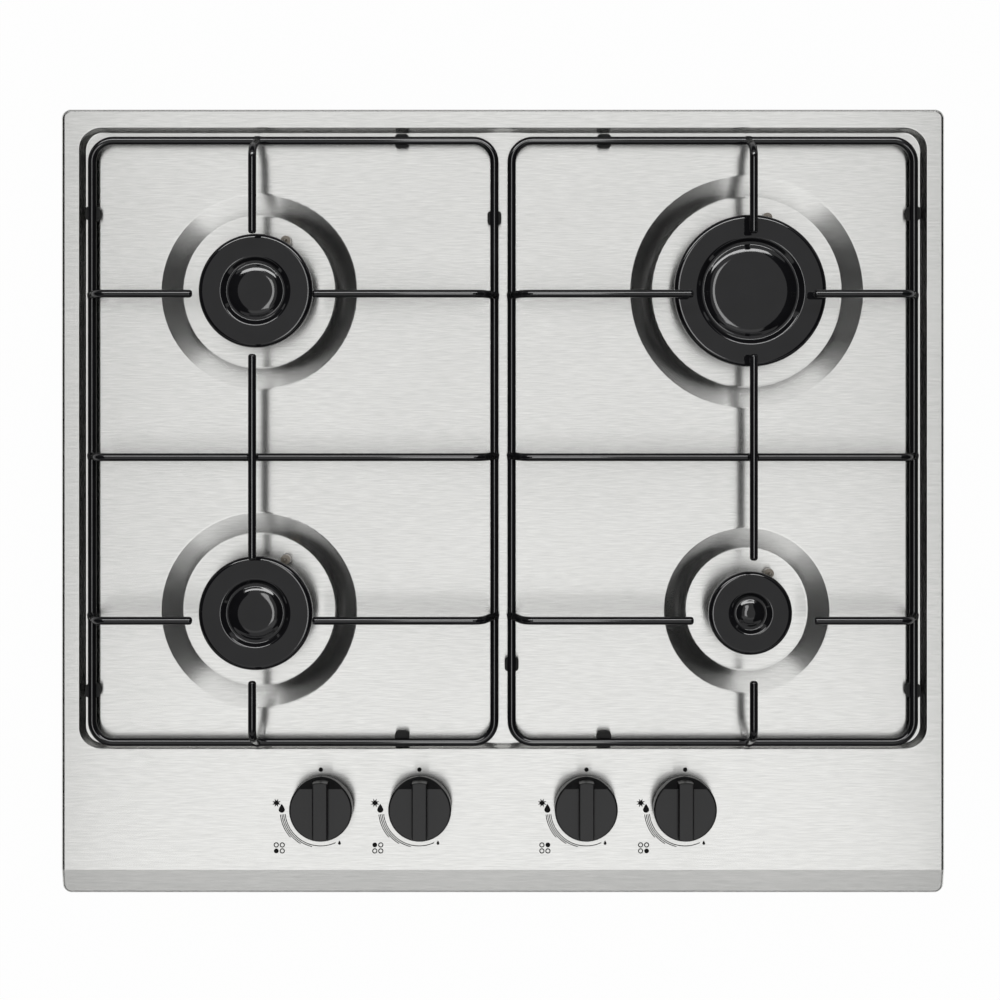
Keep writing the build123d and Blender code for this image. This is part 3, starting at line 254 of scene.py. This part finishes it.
def noise(tree, vector, scale, detail, roughness=0.5):
    node = add(tree, "TexNoise")
    node.inputs["Scale"].default_value = scale
    node.inputs["Detail"].default_value = detail
    node.inputs["Roughness"].default_value = roughness
    tree.links.new(vector, node.inputs["Vector"])
    return node.outputs["Fac"]


def stretched_noise(tree, stretch, detail, roughness):
    return noise(tree, place(tree, stretch), 1.0, detail, roughness)


def tone(tree, value, dark, light):
    """A colour between dark and light, as a 0 to 1 value says."""
    node = add(tree, "ValToRGB")
    for element, spot, colour in zip(node.color_ramp.elements, TONE_STOPS, (dark, light)):
        element.position = spot
        element.color = (*colour, 1.0)
    tree.links.new(value, node.inputs["Fac"])
    return node.outputs["Color"]


def span(tree, value, low, high):
    """Stretch a 0 to 1 value over low to high."""
    node = add(tree, "MapRange")
    node.inputs["To Min"].default_value = low
    node.inputs["To Max"].default_value = high
    tree.links.new(value, node.inputs["Value"])
    return node.outputs["Result"]


def math_node(tree, operation, first, second):
    node = add(tree, "Math", operation=operation)
    for socket, value in zip(node.inputs, (first, second)):
        if isinstance(value, (int, float)):
            socket.default_value = value
        else:
            tree.links.new(value, socket)
    return node.outputs[0]


def bump(tree, height, distance, shader):
    node = add(tree, "Bump")
    node.inputs["Distance"].default_value = distance
    tree.links.new(height, node.inputs["Height"])
    tree.links.new(node.outputs["Normal"], shader.inputs["Normal"])


def surface(name, colour, spread, rough, metal, grain, depth, ior=1.5):
    """A plain finish: mottled colour, uneven roughness and a fine surface texture."""
    material, tree, shader = node_tree(name)
    vector = place(tree, (1, 1, 1))
    mottle = noise(tree, vector, MOTTLE_SCALE, MOTTLE_DETAIL)
    fine = noise(tree, vector, grain, GRAIN_DETAIL, GRAIN_ROUGHNESS)
    dark = [part * (1 - spread) for part in colour]
    light = [min(1.0, part * (1 + spread)) for part in colour]
    tree.links.new(tone(tree, mottle, dark, light), shader.inputs["Base Color"])
    tree.links.new(span(tree, fine, *rough), shader.inputs["Roughness"])
    shader.inputs["Metallic"].default_value = metal
    shader.inputs["IOR"].default_value = ior
    bump(tree, fine, depth, shader)
    return material


def brushed_steel():
    """Stainless sheet with a fine grain from left to right, and a faint cloudiness."""
    material, tree, shader = node_tree("brushed stainless")
    streak = stretched_noise(tree, **STREAKS)
    cloud = stretched_noise(tree, **CLOUDS)
    streak_part = math_node(tree, "MULTIPLY", streak, STREAK_SHARE)
    cloud_part = math_node(tree, "MULTIPLY", cloud, CLOUD_SHARE)
    mixed = math_node(tree, "ADD", streak_part, cloud_part)
    tree.links.new(tone(tree, mixed, STEEL_DARK, STEEL_LIGHT), shader.inputs["Base Color"])
    tree.links.new(span(tree, cloud, *STEEL_ROUGH), shader.inputs["Roughness"])
    shader.inputs["Metallic"].default_value = 1.0
    shader.inputs["Anisotropic"].default_value = STEEL_BLUR
    across = add(tree, "CombineXYZ")
    for axis, share in STEEL_ACROSS.items():
        across.inputs[axis].default_value = share
    tree.links.new(across.outputs["Vector"], shader.inputs["Tangent"])
    bump(tree, stretched_noise(tree, **GRAIN), STEEL_GRAIN_DEPTH, shader)
    return material


# For each slot: name, colour, how much its tone varies, least and most roughness, metallic,
# scale of the fine texture and its depth, and for the gloss ones the refraction.
FINISHES = {
    "stainless": brushed_steel(),
    "black_enamel": surface(
        "black enamel", (0.003, 0.003, 0.0034), 0.2, (0.05, 0.09), 0, 350, 0.000004, 1.37
    ),
    "knob_plastic": surface(
        "knob plastic", (0.010, 0.010, 0.0105), 0.1, (0.28, 0.35), 0, 2600, 0.00001, 1.47
    ),
    "support_rubber": surface(
        "rubber", (0.012, 0.012, 0.012), 0.25, (0.6, 0.75), 0, 1800, 0.00004
    ),
    "seal_foam": surface(
        "seal foam", (0.09, 0.09, 0.09), 0.25, (0.8, 0.95), 0, 900, 0.0002
    ),
    "coated_steel": surface(
        "zinc-coated sheet", (0.52, 0.53, 0.54), 0.15, (0.32, 0.5), 1, 220, 0.00002
    ),
    "zinc_screws": surface(
        "bright zinc", (0.66, 0.66, 0.67), 0.08, (0.18, 0.3), 1, 1500, 0.00001
    ),
    "brass": surface(
        "turned brass", (0.70, 0.52, 0.25), 0.1, (0.22, 0.36), 1, 1500, 0.00001
    ),
    "bare_aluminium": surface(
        "bare aluminium", (0.68, 0.69, 0.70), 0.08, (0.3, 0.45), 1, 1200, 0.00002
    ),
    "cast_aluminium": surface(
        "cast aluminium", (0.46, 0.46, 0.46), 0.12, (0.42, 0.6), 1, 2200, 0.00008
    ),
    "ceramic": surface(
        "glazed ceramic", (0.42, 0.37, 0.31), 0.06, (0.1, 0.16), 0, 500, 0.00001
    ),
    "electrode_steel": surface(
        "electrode steel", (0.36, 0.33, 0.29), 0.25, (0.3, 0.45), 1, 1500, 0.00002
    ),
    "lead_silicone": surface(
        "silicone sleeve", (0.5, 0.5, 0.48), 0.06, (0.5, 0.65), 0, 1500, 0.00003
    ),
    "box_plastic": surface(
        "box plastic", (0.03, 0.03, 0.034), 0.15, (0.42, 0.6), 0, 1300, 0.00005
    ),
    "spring_steel": surface(
        "drawn spring steel", (0.5, 0.5, 0.5), 0.12, (0.25, 0.4), 1, 1500, 0.00001
    ),
}
INK = surface("black print", (0.004, 0.004, 0.004), 0.2, (0.55, 0.7), 0, 3000, 0.000004, 1.3)


# ---------------------------------------------------------------- camera, lamps and ground
def enamelled_pieces():
    """A collection of all that has the black enamel."""
    pieces = bpy.data.collections.new("enamelled pieces")
    for piece in bpy.data.objects:
        if piece.type == "MESH" and FINISHES["black_enamel"].name in piece.data.materials:
            pieces.objects.link(piece)
    return pieces


def lamp(name, made, enamelled):
    """A softbox that faces the middle of the worktop."""
    data = bpy.data.lights.new(name, "AREA")
    data.shape = "RECTANGLE"
    data.size, data.size_y = made["size"]
    data.energy = made["power"]
    softbox = bpy.data.objects.new(name, data)
    softbox.location = made["spot"]
    softbox.rotation_euler = (-Vector(made["spot"])).to_track_quat("-Z", "Y").to_euler()
    bpy.context.scene.collection.objects.link(softbox)
    if made["enamel"]:
        softbox.light_linking.receiver_collection = enamelled


def seen_directly(tree):
    """1 for the camera, reflections and things seen through, and 0 for the light itself."""
    path = add(tree, "LightPath")
    shown = math_node(tree, "MAXIMUM", path.outputs["Is Camera Ray"], path.outputs["Is Glossy Ray"])
    return math_node(tree, "MAXIMUM", shown, path.outputs["Is Transmission Ray"])


def white_ground():
    """The world: white where it is seen, and soft grey as a light.

    It isn't sampled as a light, so that its light stops at the cards.
    """
    world = bpy.data.worlds.new("white ground")
    bpy.context.scene.world = world
    world.use_nodes = True
    world.cycles.sampling_method = "NONE"
    tree = world.node_tree
    lit = tree.nodes["Background"]
    lit.inputs["Color"].default_value = (GREY_LIGHT, GREY_LIGHT, GREY_LIGHT, 1)
    white = add(tree, "Background")
    white.inputs["Color"].default_value = (1, 1, 1, 1)
    mix = add(tree, "MixShader")
    tree.links.new(seen_directly(tree), mix.inputs["Fac"])
    tree.links.new(lit.outputs["Background"], mix.inputs[1])
    tree.links.new(white.outputs["Background"], mix.inputs[2])
    tree.links.new(mix.outputs["Shader"], tree.nodes["World Output"].inputs["Surface"])


def plain_matt(name, shade):
    material, tree, shader = node_tree(name)
    shader.inputs["Base Color"].default_value = (shade, shade, shade, 1)
    shader.inputs["Roughness"].default_value = 1.0
    shader.inputs["Specular IOR Level"].default_value = 0.0
    return material, tree, shader


def stage_plane(name, width, depth, matrix, material, foot=None):
    """A flat card. Its foot is the depth at its lower edge, where that differs."""
    bm = bmesh.new()
    bmesh.ops.create_grid(bm, x_segments=1, y_segments=1, size=0.5)
    bmesh.ops.scale(bm, vec=(width, depth, 1), verts=bm.verts)
    if foot:
        lower = [corner for corner in bm.verts if corner.co.x > 0]
        bmesh.ops.scale(bm, vec=(1, foot / depth, 1), verts=lower)
    bmesh.ops.transform(bm, matrix=matrix, verts=bm.verts)
    mesh = bpy.data.meshes.new(name)
    bm.to_mesh(mesh)
    bm.free()
    card = bpy.data.objects.new(name, mesh)
    card.data.materials.append(material)
    bpy.context.scene.collection.objects.link(card)
    return card


def studio_card(name, width, depth, matrix, shade, foot=None):
    """A card that only reflections meet."""
    card = stage_plane(name, width, depth, matrix, plain_matt(name, shade)[0], foot)
    card.visible_camera = False
    card.visible_shadow = False
    card.visible_diffuse = False


def height_and_middle(card):
    return card["high"] - card["low"], (card["high"] + card["low"]) / 2


def studio_cards():
    """Tall black cards at the left and right, low dark ones at the front and rear, and a
    light grey one over the front."""
    height, middle = height_and_middle(SIDE_CARD)
    turn = Matrix.Rotation(QUARTER_TURN, 4, "Y")
    for name, way in (("left_card", -1), ("right_card", 1)):
        stand = Matrix.Translation((way * SIDE_CARD["x"], 0, middle)) @ turn
        studio_card(name, height, SIDE_CARD["depth"], stand, SIDE_CARD["shade"], SIDE_CARD["foot"])
    height, middle = height_and_middle(END_CARD)
    turn = Matrix.Rotation(QUARTER_TURN, 4, "X")
    for name, way in (("front_card", -1), ("rear_card", 1)):
        stand = Matrix.Translation((0, way * END_CARD["y"], middle)) @ turn
        studio_card(name, END_CARD["width"], height, stand, END_CARD["shade"])
    spot = Vector(SHADE_CARD["spot"])
    stand = Matrix.Translation(spot) @ spot.to_track_quat("Z", "Y").to_matrix().to_4x4()
    width, depth = SHADE_CARD["width"], SHADE_CARD["depth"]
    studio_card("shade_card", width, depth, stand, SHADE_CARD["shade"])


def pale_floor():
    """The ground under the pan: white to the camera, with a trace of the plate's shadow."""
    material, tree, shader = plain_matt("pale floor", FLOOR_SHADE)
    white = add(tree, "Emission")
    mix = add(tree, "MixShader")
    shown = math_node(tree, "MULTIPLY", seen_directly(tree), FLOOR_WHITE)
    tree.links.new(shown, mix.inputs["Fac"])
    tree.links.new(shader.outputs["BSDF"], mix.inputs[1])
    tree.links.new(white.outputs["Emission"], mix.inputs[2])
    tree.links.new(mix.outputs["Shader"], tree.nodes["Material Output"].inputs["Surface"])
    stand = Matrix.Translation((0, 0, CAD_BOX[0][2] - FLOOR_GAP))
    stage_plane("floor", FLOOR_SIZE, FLOOR_SIZE, stand, material)


def camera():
    data = bpy.data.cameras.new("picture camera")
    data.sensor_width = SENSOR_W
    data.lens = SENSOR_W * CAMERA_ABOVE_RIM / PICTURE_W
    data.shift_x = SHIFT_X
    data.shift_y = SHIFT_Y
    data.clip_end = CLIP_END
    eye = bpy.data.objects.new("picture camera", data)
    eye.location = (0, CAMERA_Y, RIM_Z + CAMERA_ABOVE_RIM)
    bpy.context.scene.collection.objects.link(eye)
    bpy.context.scene.camera = eye


# ---------------------------------------------------------------- pieces
def finished(bm, name, material, body, smooth=False):
    """Turn a bmesh into a piece that rides on a body."""
    bmesh.ops.remove_doubles(bm, verts=bm.verts, dist=1e-7)
    bmesh.ops.recalc_face_normals(bm, faces=bm.faces)
    mesh = bpy.data.meshes.new(name)
    bm.to_mesh(mesh)
    bm.free()
    piece = bpy.data.objects.new(name, mesh)
    piece.data.materials.append(material)
    for face in piece.data.polygons:
        face.use_smooth = smooth
    bpy.context.scene.collection.objects.link(piece)
    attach(piece, body)
    return piece


def thicken_up(bm, faces, height):
    """Give flat faces a thickness upwards."""
    raised = bmesh.ops.extrude_face_region(bm, geom=faces)["geom"]
    corners = [part for part in raised if isinstance(part, bmesh.types.BMVert)]
    bmesh.ops.translate(bm, vec=(0, 0, height), verts=corners)


def printed_disc(bm, x, y, radius, steps=DISC_STEPS):
    made = bmesh.ops.create_circle(bm, cap_ends=True, segments=steps, radius=radius)["verts"]
    bmesh.ops.translate(bm, vec=(x, y, 0), verts=made)
    return made


def printed_arc(bm, x, y, radius, line, start, turn, steps):
    """A thin arc or ring: a radial edge spun round its centre."""
    ends = [
        bm.verts.new((x + r * math.cos(start), y + r * math.sin(start), 0))
        for r in (radius - line / 2, radius + line / 2)
    ]
    geom = [*ends, bm.edges.new(ends)]
    full = turn >= FULL_TURN
    bmesh.ops.spin(
        bm, geom=geom, cent=(x, y, 0), axis=UPRIGHT, angle=turn, steps=steps, use_merge=full
    )


def printed_ring(bm, x, y, radius, line):
    printed_arc(bm, x, y, radius, line, 0.0, FULL_TURN, RING_STEPS)


def printed_star(bm, x, y, outer, inner, points):
    """A spark: a disc whose every other corner is drawn in."""
    made = printed_disc(bm, 0, 0, outer, 2 * points)
    bmesh.ops.scale(bm, vec=(inner / outer, inner / outer, 1), verts=made[::2])
    bmesh.ops.translate(bm, vec=(x, y, 0), verts=made)


def printed_drop(bm, x, y, width, height):
    """A flame: a disc whose upper half is drawn up to a point."""
    made = printed_disc(bm, 0, 0, width / 2, DROP_STEPS)
    rise = height - width
    for corner in made:
        if corner.co.y > 0:
            up = corner.co.y / (width / 2)
            corner.co.x *= (1 - up) ** DROP_TAPER
            corner.co.y += rise * up**DROP_RISE
    bmesh.ops.translate(bm, vec=(x, y - rise / 2, 0), verts=made)


def on_panel(burner, spot):
    """The x and y of a place in the print round a burner's knob."""
    return MARK_X[burner] + spot[0] * PX, MARK_Y + spot[1] * PX


def burner_plan(bm, burner):
    """Four small burners seen from above, with the one that the knob feeds filled in."""
    for row in ("rear", "front"):
        for side in SIDES:
            x, y = on_panel(burner, (PLAN_X[side], PLAN_Y[row]))
            if burner == f"{row}_{side}":
                printed_disc(bm, x, y, PLAN_DISC_R * PX)
            else:
                printed_ring(bm, x, y, PLAN_RING_R * PX, PLAN_RING_LINE * PX)


def knob_print(burner):
    """The print round one knob: off, spark, large and small flame, and which burner it feeds."""
    bm = bmesh.new()
    printed_disc(bm, *on_panel(burner, OFF_DOT["spot"]), OFF_DOT["radius"] * PX)
    outer, inner = SPARK["outer"] * PX, SPARK["inner"] * PX
    printed_star(bm, *on_panel(burner, SPARK["spot"]), outer, inner, SPARK["points"])
    for flame in (BIG_FLAME, SMALL_FLAME):
        width, height = flame["width"] * PX, flame["height"] * PX
        printed_drop(bm, *on_panel(burner, flame["spot"]), width, height)
    x, y = on_panel(burner, ARC_CENTRE)
    start = math.radians(ARC_START)
    for radius, end in ARCS:
        turn = math.radians(end) - start
        printed_arc(bm, x, y, radius * PX, ARC_LINE * PX, start, turn, ARC_STEPS)
    burner_plan(bm, burner)
    thicken_up(bm, list(bm.faces), INK_T)
    bmesh.ops.translate(bm, vec=(0, 0, RIM_Z - INK_SINK), verts=bm.verts)
    finished(bm, f"print_{burner}", INK, "root")


def profile_edge(bm, points):
    """A line through (radius, height, rounding) points. A rounding of None is a sharp corner."""
    corners = [bm.verts.new((r, 0, z)) for r, z, rounding in points]
    for first, second in zip(corners, corners[1:]):
        bm.edges.new((first, second))
    for corner, (r, z, rounding) in zip(corners, points):
        if rounding:
            bmesh.ops.bevel(
                bm, geom=[corner], offset=rounding, segments=CAP_ROUND_STEPS, profile=0.5,
                affect="VERTICES", material=-1,
            )


def enamel_cap(burner):
    """A pressed and enamelled cap: flat land, stepped groove and a slightly sunk middle."""
    low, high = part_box(f"burner_cap_{burner}")
    radius = (high[0] - low[0]) / 2
    centre = ((high[0] + low[0]) / 2, (high[1] + low[1]) / 2, 0)
    top = high[2]
    under = top - CAP_T
    lip = CAP_LIP_R[burner]
    points = [
        (0, under, None),
        (radius - CAP_CHAMFER, under, None),
        (radius, under + CAP_CHAMFER, None),
        (radius, top, CAP_EDGE_R),
        (radius - CAP_LAND_OUTER, top, None),
        (lip + CAP_LAND_INNER, top, None),
        (lip, top, CAP_LIP_ROUND),
        *((lip - inward, top - down, rounding) for inward, down, rounding in CAP_MIDDLE),
        (0, top - CAP_MIDDLE_DROP, None),
    ]
    bm = bmesh.new()
    profile_edge(bm, points)
    line = [*bm.verts, *bm.edges]
    bmesh.ops.spin(
        bm, geom=line, cent=(0, 0, 0), axis=UPRIGHT, angle=FULL_TURN, steps=CAP_STEPS,
        use_merge=True,
    )
    bmesh.ops.translate(bm, vec=centre, verts=bm.verts)
    cap = finished(
        bm, f"cap_{burner}", FINISHES["black_enamel"], f"cap_{burner}", True
    )
    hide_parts(f"burner_cap_{burner}")


def return_coil(burner):
    """The coil spring under a spindle's collar."""
    low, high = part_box(f"return_spring_{burner}")
    centre = ((low[0] + high[0]) / 2, (low[1] + high[1]) / 2, 0)
    coil_r = (high[0] - low[0]) / 2 - SPRING_WIRE_R
    length = high[2] - low[2]
    steps = SPRING_TURNS * STEPS_A_TURN
    climb = (length - 2 * SPRING_WIRE_R) / steps
    bm = bmesh.new()
    wire = bmesh.ops.create_circle(bm, segments=SPRING_WIRE_SIDES, radius=SPRING_WIRE_R)["verts"]
    turned = Matrix.Rotation(QUARTER_TURN, 3, "X")
    bmesh.ops.rotate(bm, cent=(0, 0, 0), matrix=turned, verts=wire)
    bmesh.ops.translate(bm, vec=(coil_r, 0, low[2] + SPRING_WIRE_R), verts=wire)
    line = [*bm.verts, *bm.edges]
    whole = FULL_TURN * SPRING_TURNS
    bmesh.ops.spin(
        bm, geom=line, cent=(0, 0, 0), axis=UPRIGHT, dvec=(0, 0, climb), angle=whole, steps=steps
    )
    ends = [edge for edge in bm.edges if edge.is_boundary]
    bmesh.ops.holes_fill(bm, edges=ends, sides=0)
    bmesh.ops.translate(bm, vec=centre, verts=bm.verts)
    body = body_of(frame["nodes"][f"return_spring_{burner}"])[0]
    coil = finished(
        bm, f"coil_{burner}", FINISHES["spring_steel"], body, True
    )
    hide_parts(f"return_spring_{burner}")
    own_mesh(coil)


def bead(bm, spot, along, run):
    """A weld bead: a flattened, faintly rippled ball that runs out along the wire."""
    u_steps, v_steps = BEAD_STEPS
    made = bmesh.ops.create_uvsphere(
        bm, u_segments=u_steps, v_segments=v_steps, radius=BEAD_R
    )["verts"]
    stretch = (run if along == "x" else 1, run if along == "y" else 1, BEAD_FLAT)
    bmesh.ops.scale(bm, vec=stretch, verts=made)
    for corner in made:
        wave = math.sin(BEAD_RIPPLES * math.atan2(corner.co.y, corner.co.x))
        ripple = 1 + BEAD_RIPPLE * wave * (1 - abs(corner.co.z) / BEAD_R)
        corner.co.x *= ripple
        corner.co.y *= ripple
    bmesh.ops.translate(bm, vec=spot, verts=made)


def weld_beads(side):
    """Beads where the fingers meet the rim wire and where the middle bar rests on the cross bar."""
    way = -1 if side == "left" else 1
    bm = bmesh.new()
    for y in (SUPPORT_REAR_Y, SUPPORT_FRONT_Y):
        bead(bm, (way * BURNER_X, y, RIM_Z), "x", BEAD_RUN)
    for x in (way * SUPPORT_OUTER_X, way * SUPPORT_INNER_X):
        for y in (BURNER_Y["rear"] - FINGER_SHIFT, BURNER_Y["front"] - FINGER_SHIFT, CROSS_BAR_Y):
            bead(bm, (x, y, RIM_Z), "y", BEAD_RUN)
    bead(bm, (way * BURNER_X, CROSS_BAR_Y, BAR_Z - BAR_R), "x", BAR_BEAD_RUN)
    finished(
        bm, f"weld_beads_{side}", FINISHES["black_enamel"], f"pan_support_{side}",
        True,
    )


def dress_nodes():
    """Give each CAD node the finish of its slot."""
    for row in frame["record"]["subparts"]:
        node = frame["nodes"][row["node"]]
        node.data.materials.clear()
        node.data.materials.append(FINISHES[row["material_slot"]])


camera()
white_ground()
studio_cards()
pale_floor()
dress_nodes()
for burner in BURNERS:
    knob_print(burner)
    enamel_cap(burner)
    return_coil(burner)
for side in SIDES:
    weld_beads(side)
enamelled = enamelled_pieces()
for name, made in LAMPS.items():
    lamp(name, made, enamelled)
bpy.context.scene.view_settings.view_transform = "Standard"
